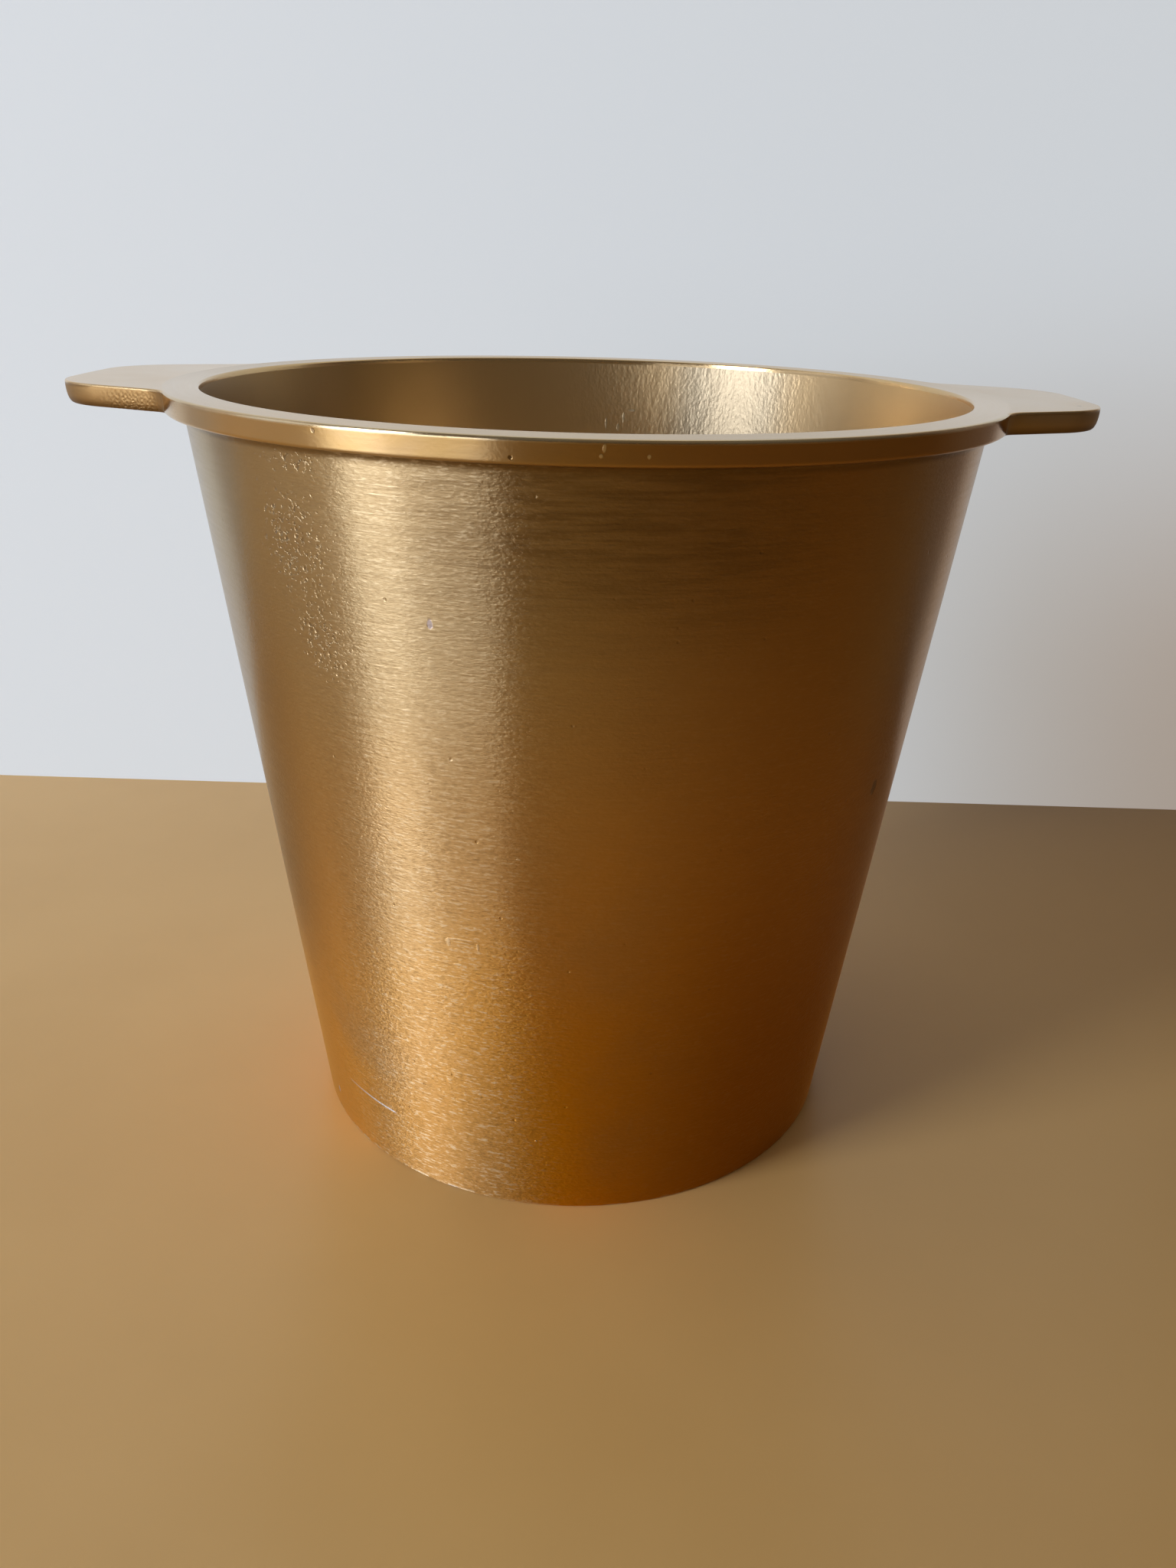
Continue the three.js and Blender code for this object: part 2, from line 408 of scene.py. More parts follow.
def handle_plan(reach, count=701):
    """Outline from one root round the end to the other, resampled at even steps, with its outward normals."""
    end, tip = np.array([reach - END_BULGE, END_HALF_WIDTH]), np.array([reach, 0.0])
    fillet = root_fillet(end)
    bow = arc(tip, end * [1, -1], end, END_RADIUS, 8)
    half = np.concatenate([bow[5:], arc(end, tip, fillet[0], HANDLE_CORNER, 40), fillet])
    line = np.concatenate([half[::-1], bow[4:5], half * [1, -1]])
    length = np.concatenate([[0], np.cumsum(np.linalg.norm(np.diff(line, axis=0), axis=1))])
    even = np.linspace(0, length[-1], count)
    line = np.stack([np.interp(even, length, line[:, i]) for i in range(2)], 1)
    along = np.gradient(line, axis=0)
    normal = np.stack([-along[:, 1], along[:, 0]], 1) / np.linalg.norm(along, axis=1)[:, None]
    normal *= np.sign((normal * line).sum(1))[:, None]
    return line, normal, even


plan, _, _ = handle_plan(LEFT_REACH)
print("left handle is %.1f mm wide at the rim" % (1000 * np.ptp(plan[:, 1])))

# %% [markdown]
# A section across the handle starts on the rim's flat top, rounds over a crisp edge, falls down the side,
# curves in softly below and returns to the rim. Near the roots the side takes on the draft and the upper
# edge of the rim's face, so that the two run into each other, and points that would come to lie
# inside the rim are held just under its face. Insets are measured along the plan's normal, so the edge
# keeps its width round the corners.

# %% Section of a handle
HANDLE_UPPER_EDGE = 0.0004
UNDER_EDGE = 0.0014
UNDER_HEIGHT = 0.0042
ROOT_RUN = 0.004
UNDER_FACE = 0.00002
SIDE_ROWS = 3
FLAT_ROWS = 6
PATCH_AT = -0.0480
PATCH_HALF = 0.0080
PATCH_DEPTH = 0.00008

rim_face = between(lower_run[-1], upper_run[0], [0.2, 0.4, 0.6, 0.8])
rim_edge = np.concatenate([lower_run, rim_face, upper_run])[::-1]
quarter = np.linspace(0, np.pi / 2, 23)
upper_round = np.stack([1 - np.sin(quarter[::2]), 1 - np.cos(quarter[::2])], 1)
under_level = RIM_UNDERSIDE + UNDER_HEIGHT * (1 - np.sin(quarter))
under_round = np.stack([UNDER_EDGE * (1 - np.cos(quarter)), under_level], 1)


def cast_patch(even, level):
    """Crumbly skin left as cast on the left handle's near side: hills under a flat-topped bell."""
    place = even - even[-1] / 2
    bell = np.exp(-((place - PATCH_AT) / PATCH_HALF) ** 4)[:, None]
    below = np.clip((HEIGHT - RIM_UPPER_EDGE - level) / 0.0012, 0, 1)
    bumps = waves(place[:, None], level, seed=11, shortest=0.0006, longest=0.0018, upright=0.5)
    return PATCH_DEPTH * bell * below * np.clip(0.6 + bumps, 0, 2)


def handle_edge(reach, cast):
    """Edge points (place, row) and their levels: a quarter round above, an upright quarter ellipse below."""
    line, normal, even = handle_plan(reach)
    radius = np.linalg.norm(line, axis=1)
    grow = np.clip((radius - RIM_RADIUS) / ROOT_RUN, 0, 1)[:, None]
    grow = grow * grow * (3 - 2 * grow)
    size = RIM_UPPER_EDGE + (HANDLE_UPPER_EDGE - RIM_UPPER_EDGE) * grow
    above, above_level = size * upper_round[:, 0], HEIGHT - size * upper_round[:, 1]
    shares = np.linspace(0, 1, SIDE_ROWS + 2)[1:-1]
    side_level = above_level[:, -1:] + shares * (under_round[0, 1] - above_level[:, -1:])
    ones = np.ones_like(size)
    inset = np.concatenate([above, 0 * side_level, ones * under_round[:, 0]], axis=1)
    level = np.concatenate([above_level, side_level, ones * under_round[:, 1]], axis=1)
    if cast:
        inset = inset + cast_patch(even, level)
    edge = line[:, None] - normal[:, None] * inset[..., None]
    draft = RIM_DRAFT * (1 - grow) * (HEIGHT - level) / RIM_THICKNESS
    edge = edge * (1 - draft / radius[:, None])[..., None]
    far = np.linalg.norm(edge, axis=-1)
    face = np.interp(level, rim_edge[::-1, 1], rim_edge[::-1, 0]) - UNDER_FACE
    return edge * (np.maximum(far, face) / far)[..., None], level


# %% Make the handles
def handle_grid(reach, side, cast):
    """Section loop at each place of the plan: top, edge, underside, then back up along the rim's edge."""
    edge, level = handle_edge(reach, cast)
    line, _, _ = handle_plan(reach)
    ray = line / np.linalg.norm(line, axis=1)[:, None]
    touch = ray[:, None] * rim_edge[::-1, 0][None, :, None]
    shares = np.linspace(0, 1, FLAT_ROWS + 2)[1:-1][None, :, None]
    top = touch[:, -1:] + shares * (edge[:, :1] - touch[:, -1:])
    under = edge[:, -1:] + shares * (touch[:, :1] - edge[:, -1:])
    ones = np.ones((len(line), FLAT_ROWS))
    heights = [ones * HEIGHT, level, ones * RIM_UNDERSIDE, ones[:, :1] * rim_edge[::-1, 1]]
    flat_plan = np.concatenate([top, edge, under, touch], axis=1)
    return np.concatenate([flat_plan * side, np.concatenate(heights, axis=1)[..., None]], axis=-1)


handles = {}
for node, reach, side in (("left_handle", LEFT_REACH, -1), ("right_handle", RIGHT_REACH, 1)):
    made = skin(node + "_skin", handle_grid(reach, side, side < 0), closed_turns=False)
    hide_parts(node)
    handles[node] = made

# %% [markdown]
# ## Short calls for shader nodes
# The finishes are built from many small nodes. A class that adds a node or a few per call, and returns an
# output, lets each finish below read as a list of what a metalworker would see. Heights are in metres,
# so a depth in a finish is a real depth.

# %% A finish under construction
class Finish:
    """A material and short calls that add nodes and give back an output."""

    def __init__(self, name, **constants):
        """Makes the material, sets its constant sockets and splits the place on the object into x, y, z."""
        self.material = bpy.data.materials.new(name)
        self.material.use_nodes = True
        self.tree = self.material.node_tree
        self.shader = self.tree.nodes["Principled BSDF"]
        for socket, value in constants.items():
            self.shader.inputs[socket.replace("_", " ").title()].default_value = value
        self.place = self.add("TexCoord", output="Object")
        parts = self.add("SeparateXYZ", {0: self.place}).node.outputs
        self.x, self.y, self.z = parts[0], parts[1], parts[2]

    def add(self, kind, inputs=None, output=0, **settings):
        """Adds a node of a kind, with values or links for its inputs, and gives back one output."""
        node = self.tree.nodes.new("ShaderNode" + kind)
        for name, value in settings.items():
            setattr(node, name, value)
        for socket, value in (inputs or {}).items():
            self.join(value, node.inputs[socket])
        return node.outputs[output]

    def join(self, value, socket):
        """Links an output to a socket, or sets the socket to a plain value."""
        if isinstance(value, bpy.types.NodeSocket):
            self.tree.links.new(value, socket)
        else:
            socket.default_value = value

    def sums(self, operation, a, b=0.0):
        """One calculation with two values."""
        return self.add("Math", {0: a, 1: b}, operation=operation)

    def times(self, first, *others):
        """Product of all values."""
        for other in others:
            first = self.sums("MULTIPLY", first, other)
        return first

    def total(self, first, *others):
        """Sum of all values."""
        for other in others:
            first = self.sums("ADD", first, other)
        return first

    def scaled(self, x, y, z, vector=None):
        """Place, or another vector, stretched along each axis."""
        return self.add("VectorMath", {0: vector or self.place, 1: (x, y, z)}, operation="MULTIPLY")

    def noise(self, vector, detail=2.0):
        """Soft random hills between 0 and 1, about one to each unit of the vector."""
        return self.add("TexNoise", {"Vector": vector, "Scale": 1.0, "Detail": detail}, output="Fac")

    def fade(self, value, start, end, low=0.0, high=1.0):
        """Smooth step from low to high while the value goes from start to end."""
        ends = {"Value": value, "From Min": start, "From Max": end, "To Min": low, "To Max": high}
        return self.add("MapRange", ends, interpolation_type="SMOOTHSTEP")

    def within(self, value, low, high, soft):
        """1 between low and high, with soft ends."""
        rise = self.fade(value, low - soft, low + soft)
        return self.times(rise, self.fade(value, high + soft, high - soft))

    def front(self, low=0.0):
        """1 on the front half, falling softly to a low share at the back."""
        return self.fade(self.y, 0.03, -0.03, low, 1.0)

    def blend(self, share, a, b):
        """Colour a with a share of colour b."""
        node = self.tree.nodes.new("ShaderNodeMix")
        node.data_type = "RGBA"
        self.join(share, node.inputs[0])
        self.join(a, node.inputs[6])
        self.join(b, node.inputs[7])
        return node.outputs[2]

    def bump(self, height):
        """Normal bent by a height in metres."""
        return self.add("Bump", {"Height": height, "Distance": 1.0})

    def lathe_lines(self):
        """Direction round the upright axis, along which a lathe leaves its lines."""
        return self.add("Tangent", direction_type="RADIAL", axis="Z")

    def wear(self, **sockets):
        """Joins values to the shader's sockets and gives back the material."""
        for socket, value in sockets.items():
            self.join(value, self.shader.inputs[socket.replace("_", " ").title()])
        return self.material


print("finish calls:", ", ".join(name for name in vars(Finish) if not name.startswith("_")))

# %% [markdown]
# ## Spots and pits
# A mark is an upright ellipse round a point of the surface, with a ragged edge. It has a place, a width and
# a height in millimetres, a colour and a depth, and below zero depth it stands proud, as a burr does.
# Pits are cells of a Voronoi pattern of which only some are open, as pores in a casting are. Both could be
# cut into the mesh, but at less than a millimetre the shader's bump shows them just as well.

# %% Masks for spots and pits
def mm(*values):
    """Millimetres as metres."""
    return tuple(0.001 * value for value in values)


def spot(finish, centre, wide, tall, ragged=0.3, core=0.55):
    """1 in the core of an ellipse of the given size in millimetres, fading to 0 at its ragged edge."""
    away = finish.add("VectorMath", {0: finish.place, 1: mm(*centre)}, operation="SUBTRACT")
    away = finish.scaled(2000 / wide, 2000 / wide, 2000 / tall, away)
    far = finish.add("VectorMath", {0: away}, output="Value", operation="LENGTH")
    if ragged:
        edge = finish.noise(finish.scaled(900, 900, 900), detail=1.0)
        far = finish.total(far, finish.times(finish.sums("SUBTRACT", edge, 0.5), 2 * ragged))
    return finish.fade(far, 1.0, core)


def marked(finish, tone, height, marks, share=1.0, ragged=0.3):
    """Tone and height with a list of marks: each blends in its colour at a share and lowers the height."""
    for centre, wide, tall, colour, depth in marks:
        mark = spot(finish, centre, wide, tall, ragged)
        tone = finish.blend(finish.times(mark, share), tone, colour)
        height = finish.total(height, finish.times(mark, -0.001 * depth))
    return tone, height


def pits(finish, apart, share, wide=0.5):
    """1 in round pits about "apart" millimetres from each other, in a share of all cells."""
    cells = finish.add("TexVoronoi", {"Vector": finish.place, "Scale": 1000 / apart}, output="Distance")
    drawn = finish.add("SeparateColor", {0: cells.node.outputs["Color"]})
    return finish.times(finish.fade(cells, wide, 0.3 * wide), finish.sums("LESS_THAN", drawn, share))


# Several golds below also carry painted light: a painted floor reflection towards the foot, a painted
# highlight and painted shade.
GOLD = (0.47, 0.325, 0.15, 1)
UPPER_GOLD = (0.455, 0.34, 0.178, 1)
SHADED_GOLD = (0.45, 0.24, 0.07, 1)
DEEP_GOLD_AND_FLOOR_REFLECTION = (0.60, 0.325, 0.085, 1)
LIT_FLOOR_REFLECTION_GOLD = (0.80, 0.40, 0.07, 1)
ORANGE_FLOOR_REFLECTION_GOLD = (0.85, 0.365, 0.008, 1)
SHADED_FLOOR_REFLECTION_GOLD = (0.53, 0.19, 0.004, 1)
BROWN_GOLD_AND_SHADE = (0.36, 0.225, 0.09, 1)
RIM_GOLD = (0.42, 0.27, 0.10, 1)
HIGHLIGHT_GOLD = (0.60, 0.40, 0.18, 1)
DULL_GOLD = (0.42, 0.295, 0.16, 1)
CAST_GOLD_AND_TOP_REFLECTION = (0.76, 0.53, 0.265, 1)
CAST_BROWN_AND_SHADE = (0.54, 0.37, 0.17, 1)
CAST_SILVER_AND_SHADE = (0.41, 0.32, 0.195, 1)
PALE_WEAR_AND_GLINT_GOLD = (0.74, 0.60, 0.37, 1)
BARE_METAL = (0.80, 0.78, 0.74, 1)
SLATE = (0.40, 0.35, 0.36, 1)
DARK_PATINA_AND_SHADE = (0.16, 0.095, 0.035, 1)
print("gold", GOLD[:3])

# %% [markdown]
# ## The turned finish
# Turning and rubbing left fine lines round the body. They stretch every reflection upright, which
# the shader's anisotropy does, and close to they show as short streaks and a fine grain, which noises
# squeezed along z give. A stretched noise on plain coordinates needs no unwrapping. The gold
# deepens towards the foot, partly as a painted reflection of an orange floor; dirt and painted shade
# darken the groove under the rim, and the upper left front shows the pores of the casting.

# %% Height of the tool marks and the pores
def turned_height(finish):
    """Short scales, flecks, longer lines and a grain, uneven over the body and coarser towards the foot."""
    scales = finish.noise(finish.scaled(260, 260, 2300), detail=3.0)
    flecks = finish.noise(finish.scaled(750, 750, 1600), detail=2.0)
    lines = finish.noise(finish.scaled(60, 60, 1500), detail=2.0)
    grain = finish.noise(finish.scaled(1300, 1300, 2400), detail=1.0)
    uneven = finish.fade(finish.noise(finish.scaled(24, 24, 24)), 0.3, 0.7, 0.5, 1.2)
    lower = finish.fade(finish.z, 0.17, 0.01, 1.0, 2.4)
    height = finish.total(finish.times(scales, 0.00004), finish.times(lines, 0.00003),
                          finish.times(flecks, lower, 0.00005), finish.times(grain, lower, 0.00003))
    brushed = finish.times(finish.total(scales, flecks), 0.5)
    return finish.times(height, uneven), lines, brushed


def cast_pores(finish):
    """Pores of the casting: three clusters on the upper left front with a thinner cloud between them."""
    cloud = finish.total(
        spot(finish, (-60.0, -76.8, 175.0), 24, 26, ragged=0.6, core=0.0),
        spot(finish, (-58.9, -80.2, 191.2), 24, 6.5, ragged=0.5, core=0.0),
        spot(finish, (-54.8, -77.0, 152.1), 17, 20, ragged=0.6, core=0.0),
        finish.times(spot(finish, (-57.0, -77.0, 165.0), 44, 70, ragged=0.5, core=0.0), 0.5))
    crumbs = finish.fade(finish.noise(finish.scaled(1000, 1000, 1200), detail=2.0), 0.45, 0.33)
    pores = finish.sums("MAXIMUM", pits(finish, apart=1.4, share=0.33), crumbs)
    many = finish.times(pores, finish.fade(cloud, 0.1, 1.0))
    few = finish.times(pits(finish, apart=2.6, share=0.05, wide=0.2), 0.6)
    return finish.total(many, few), cloud


# %% [markdown]
# Years of use have left their own marks: a grey dent, pale streaks under the rim, a rubbed arch low on the
# front and a long scratch by the foot. The foot's edge is rubbed pale, and bare in a spot or two.

# %% Marks of use on the turned wall
TURNED_MARKS = [
    ((-29.4, -91.0, 160.9), 1.5, 3.0, SLATE, 0.04),
    ((73.6, -50.6, 111.6), 3.8, 5.0, DARK_PATINA_AND_SHADE, 0.03),
    ((-7.3, -77.6, 22.9), 0.8, 0.7, PALE_WEAR_AND_GLINT_GOLD, -0.05),
    ((-11.3, -88.0, 107.0), 1.5, 0.5, PALE_WEAR_AND_GLINT_GOLD, -0.03),
    ((-66.0, -38.1, 8.0), 1.4, 3.0, BARE_METAL, 0.03),
    ((-30.0, -68.9, 0.2), 5.0, 1.1, SLATE, 0.05),
    ((13.2, -73.8, 0.2), 6.0, 0.8, BARE_METAL, 0.05),
]
STREAKS = [
    ((-37.9, -91.7, 188.4), 8.0, 0.5, PALE_WEAR_AND_GLINT_GOLD, -0.012),
    ((-38.0, -91.4, 186.5), 12.0, 0.5, PALE_WEAR_AND_GLINT_GOLD, -0.012),
    ((-42.9, -88.6, 182.6), 8.0, 0.5, PALE_WEAR_AND_GLINT_GOLD, -0.012),
    ((-54.5, -77.3, 149.5), 9.0, 0.5, PALE_WEAR_AND_GLINT_GOLD, -0.012),
    ((-35.0, -92.0, 183.3), 6.0, 0.4, PALE_WEAR_AND_GLINT_GOLD, -0.012),
]
RUBBED_ARCH = [
    ((-24.8, -82.1, 82.9), 7.6, 0.55, PALE_WEAR_AND_GLINT_GOLD, -0.03),
    ((-25.2, -81.9, 82.0), 6.2, 0.5, PALE_WEAR_AND_GLINT_GOLD, -0.03),
    ((-28.3, -80.8, 81.6), 1.5, 2.8, PALE_WEAR_AND_GLINT_GOLD, -0.03),
    ((-21.2, -82.9, 81.3), 0.9, 3.0, PALE_WEAR_AND_GLINT_GOLD, -0.03),
]


def pale_scratch(finish):
    """A scratch round the lower left front, from x = -61 to -45 mm, brighter at its right end."""
    drop = finish.total(finish.times(finish.x, -0.039), 0.01723)
    off = finish.sums("ABSOLUTE", finish.sums("SUBTRACT", finish.z, drop))
    line = finish.times(finish.fade(off, 0.00045, 0.0001), finish.within(finish.x, -0.060, -0.0456, 0.0008))
    front = finish.sums("LESS_THAN", finish.y, 0.0)
    return finish.times(line, front, finish.fade(finish.x, -0.061, -0.050, 0.3, 1.0))


def worn_foot(finish):
    """Rubbed metal along the foot's edge, in a ragged line at the left front and thinner elsewhere."""
    about = finish.sums("ARCTAN2", finish.y, finish.x)
    often = finish.total(finish.within(about, -2.62, -1.90, 0.12), 0.35)
    ragged = finish.fade(finish.noise(finish.scaled(380, 380, 900), detail=3.0), 0.50, 0.62)
    return finish.times(ragged, often, finish.fade(finish.z, 0.0014, 0.0005))


# %% [markdown]
# The finish puts these together. The gold deepens towards the foot, partly as a painted reflection of an
# orange floor, and the right side is darker and warmer as painted shade, with a greyer band at the upper
# right as a painted sheen. A painted highlight brightens the middle of the bright band at the front, and
# painted shade darkens the left edge at mid height and the lower front. Dirt and painted shade darken the
# groove under the rim, and brown stains lie below it at the front.

# %% Turned gold for the outside of the wall
def turned_tone_with_painted_light(finish):
    """Gold by level and side, with a painted floor reflection, painted highlight and painted shade, then dull
    patches, stains at the upper front, and dirt and painted shade in the groove.
    """
    patch = finish.noise(finish.scaled(18, 18, 18), detail=3.0)
    stain = finish.fade(finish.noise(finish.scaled(60, 60, 700), detail=3.0), 0.38, 0.65, 0.38, 0.66)
    # Painted shade: the right side is darker and warmer; a greyer band at the upper right, where less of that
    # shade is mixed in, is a painted sheen.
    sheen_strip = finish.times(finish.within(finish.x, 0.064, 0.080, 0.012), finish.fade(finish.z, 0.11, 0.15))
    right = finish.times(finish.fade(finish.x, -0.02, 0.05), finish.total(finish.times(sheen_strip, -0.6), 1.0))
    front = finish.front()
    # Painted reflection: the deeper gold towards the foot is partly a painted reflection of an orange floor,
    # brighter at the left, orange at the front and darker at the right as painted shade.
    deep_and_reflected = finish.blend(finish.fade(finish.x, -0.045, -0.060), DEEP_GOLD_AND_FLOOR_REFLECTION, LIT_FLOOR_REFLECTION_GOLD)
    deep_and_reflected = finish.blend(finish.times(finish.fade(finish.x, -0.045, 0.0), front), deep_and_reflected, ORANGE_FLOOR_REFLECTION_GOLD)
    deep_and_reflected = finish.blend(finish.fade(finish.x, 0.0, 0.05), deep_and_reflected, SHADED_FLOOR_REFLECTION_GOLD)
    tone = finish.blend(right, UPPER_GOLD, SHADED_GOLD)
    tone = finish.blend(finish.fade(finish.z, 0.17, 0.02), tone, deep_and_reflected)
    # Painted shade: a darker brown at the left edge at mid height.
    left = finish.fade(finish.x, -0.058, -0.076, 0.0, 0.85)
    tone = finish.blend(finish.times(left, finish.within(finish.z, 0.06, 0.155, 0.025)), tone, BROWN_GOLD_AND_SHADE)
    # Painted shade: darker gold on the lower front below the bright band.
    foot = finish.times(finish.fade(finish.z, 0.09, 0.0, 0.0, 0.9), front)
    tone = finish.blend(finish.times(foot, finish.within(finish.x, -0.045, -0.010, 0.012)), tone, SHADED_GOLD)
    # Painted highlight: brighter gold in the middle of the bright band at the front.
    middle = finish.times(finish.within(finish.z, 0.085, 0.125, 0.02), front, 0.9)
    middle = finish.times(middle, finish.within(finish.x, -0.050, -0.032, 0.008))
    tone = finish.blend(middle, tone, HIGHLIGHT_GOLD)
    dull = finish.times(finish.fade(patch, 0.45, 0.75, 0.0, 0.5), finish.sums("SUBTRACT", 1.0, right))
    tone = finish.blend(dull, tone, DULL_GOLD)
    upper = finish.times(finish.fade(finish.z, 0.145, 0.185), front)
    stain = finish.times(stain, upper, finish.within(finish.x, -0.035, 0.045, 0.02))
    tone = finish.blend(stain, tone, DARK_PATINA_AND_SHADE)
    # Dirt and painted shade darken the groove under the rim.
    groove = finish.within(finish.z, 0.1928, 0.1956, 0.0008)
    return finish.blend(finish.times(groove, 0.75), tone, DARK_PATINA_AND_SHADE)


def turned_gold():
    """Tone, streaks, painted glints and shade in the lit band, pores, marks and wear of the turned outside,
    rougher towards the foot.
    """
    finish = Finish("turned_gold", metallic=1.0, anisotropic=0.9, anisotropic_rotation=0.25)
    height, lines, brushed = turned_height(finish)
    pores, cloud = cast_pores(finish)
    # Painted glints and shade: pale and dark streaks, kept to the bright band at the front.
    side = finish.total(finish.within(finish.x, -0.055, -0.008, 0.012), 0.15)
    side = finish.times(side, finish.fade(finish.z, 0.17, 0.09, 0.8, 1.4), finish.front(0.3))
    pale = finish.times(finish.fade(brushed, 0.5, 0.66, 0.0, 0.34), side)
    dark = finish.times(finish.fade(brushed, 0.5, 0.34, 0.0, 0.22), side)
    tone = finish.blend(pale, turned_tone_with_painted_light(finish), PALE_WEAR_AND_GLINT_GOLD)
    tone = finish.blend(dark, tone, DARK_PATINA_AND_SHADE)
    tone = finish.blend(finish.times(cloud, 0.25), tone, DULL_GOLD)
    tone = finish.blend(finish.times(pores, 0.3), tone, DARK_PATINA_AND_SHADE)
    height = finish.total(height, finish.times(pores, -0.00012))
    tone, height = marked(finish, tone, height, TURNED_MARKS, share=0.7)
    tone, height = marked(finish, tone, height, RUBBED_ARCH, share=0.35, ragged=0.7)
    tone, height = marked(finish, tone, height, STREAKS, share=0.2)
    tone = finish.blend(pale_scratch(finish), tone, BARE_METAL)
    tone = finish.blend(finish.times(worn_foot(finish), 0.7), tone, PALE_WEAR_AND_GLINT_GOLD)
    uneven = finish.fade(lines, 0.25, 0.75, 0.0, 0.04)
    roughness = finish.total(finish.fade(finish.z, 0.13, 0.0, 0.30, 0.58), uneven)
    return finish.wear(base_color=tone, roughness=roughness, normal=finish.bump(height),
                       tangent=finish.lathe_lines())


# %% [markdown]
# ## The rim's finish
# The flange was turned more finely, so that it mirrors its surroundings softly. Its lines must run round
# both the upright face and the flat top, so the pattern is squeezed along radius plus level.

# %% Finely turned gold for the flange
RIM_MARKS = [
    ((-50.9, -91.5, 198.5), 1.1, 1.1, DULL_GOLD, 0.04),
    ((-12.2, -104.0, 196.2), 0.9, 0.9, DARK_PATINA_AND_SHADE, 0.06),
    ((5.0, -104.7, 198.4), 0.8, 2.0, PALE_WEAR_AND_GLINT_GOLD, -0.03),
    ((4.4, -104.7, 197.0), 1.0, 1.2, PALE_WEAR_AND_GLINT_GOLD, -0.03),
    ((13.2, -104.0, 197.0), 0.8, 0.9, PALE_WEAR_AND_GLINT_GOLD, -0.03),
]


def rim_gold():
    """Tone of the face by side, with a painted highlight at the left and painted shade at the right, a top
    and mouth paler from rubbing and from a painted reflection, an upper edge paler from rubbing and from a
    painted highlight, fine lines and a few marks.
    """
    finish = Finish("rim_gold", metallic=1.0, anisotropic=0.9, anisotropic_rotation=0.25)
    radius = finish.add("VectorMath", {0: finish.scaled(1, 1, 0)}, output="Value", operation="LENGTH")
    across = finish.add("CombineXYZ", {0: finish.x, 1: finish.y, 2: finish.total(radius, finish.z)})
    lines = finish.noise(finish.scaled(60, 60, 1500, across), detail=2.0)
    grain = finish.noise(finish.scaled(900, 900, 1500, across), detail=1.0)
    patch = finish.noise(finish.scaled(45, 45, 90), detail=3.0)
    top = finish.fade(finish.z, 0.1990, 0.1998)
    right = finish.fade(finish.x, -0.02, 0.04)
    tone = finish.blend(finish.fade(patch, 0.4, 0.7, 0.0, 0.5), RIM_GOLD, DULL_GOLD)
    # Painted highlight: brighter gold at the left end of the face; painted shade: darker, warmer gold at the
    # right.
    tone = finish.blend(finish.fade(finish.x, -0.045, -0.075), tone, HIGHLIGHT_GOLD)
    tone = finish.blend(right, tone, SHADED_GOLD)
    # The top and the mouth are paler from rubbing and from a painted reflection of the pale wall, a little
    # darker towards the left.
    mouth = finish.fade(radius, 0.0970, 0.0964)
    upper = finish.blend(finish.fade(finish.x, -0.06, -0.09, 0.0, 0.5), CAST_GOLD_AND_TOP_REFLECTION, CAST_BROWN_AND_SHADE)
    tone = finish.blend(finish.sums("MAXIMUM", top, mouth), tone, upper)
    # The upper edge is paler from rubbing and from a painted highlight.
    edge = finish.times(finish.fade(finish.z, 0.1989, 0.1995), finish.fade(radius, 0.1040, 0.1046))
    tone = finish.blend(finish.times(edge, finish.fade(patch, 0.35, 0.6, 0.2, 0.8)), tone, PALE_WEAR_AND_GLINT_GOLD)
    height = finish.total(finish.times(lines, 0.000012), finish.times(grain, 0.000016))
    height = finish.times(height, finish.fade(top, 0.0, 1.0, 1.0, 0.25))
    tone, height = marked(finish, tone, height, RIM_MARKS, ragged=0.5)
    beside = finish.fade(finish.sums("ABSOLUTE", finish.x), 0.086, 0.094)
    face = finish.fade(beside, 0.0, 1.0, 0.28, 0.12)
    smooth = finish.total(finish.times(face, finish.sums("SUBTRACT", 1.0, top)), finish.times(top, 0.17))
    roughness = finish.total(smooth, finish.fade(lines, 0.25, 0.75, 0.0, 0.03))
    return finish.wear(base_color=tone, roughness=roughness, normal=finish.bump(height),
                       tangent=finish.lathe_lines())


# %% [markdown]
# ## The cast finish
# Inside the bucket the metal kept the skin of the mould: upright ripples a millimetre or two wide, rough
# on the far right side of the mouth and smoother elsewhere. The rough patch has a duller, more silvery tone,
# also darkened there as painted shade under the highlight, and the left side is painted darker and browner as
# shade.

# %% Cast gold for the inside
INSIDE_MARKS = [
    ((5.0, 93.3, 180.2), 0.9, 4.4, PALE_WEAR_AND_GLINT_GOLD, -0.04),
    ((10.7, 93.1, 182.0), 0.9, 5.2, PALE_WEAR_AND_GLINT_GOLD, -0.04),
    ((9.0, 92.9, 179.0), 1.2, 2.6, PALE_WEAR_AND_GLINT_GOLD, -0.04),
    ((13.4, 93.0, 184.4), 2.6, 0.9, PALE_WEAR_AND_GLINT_GOLD, -0.04),
]


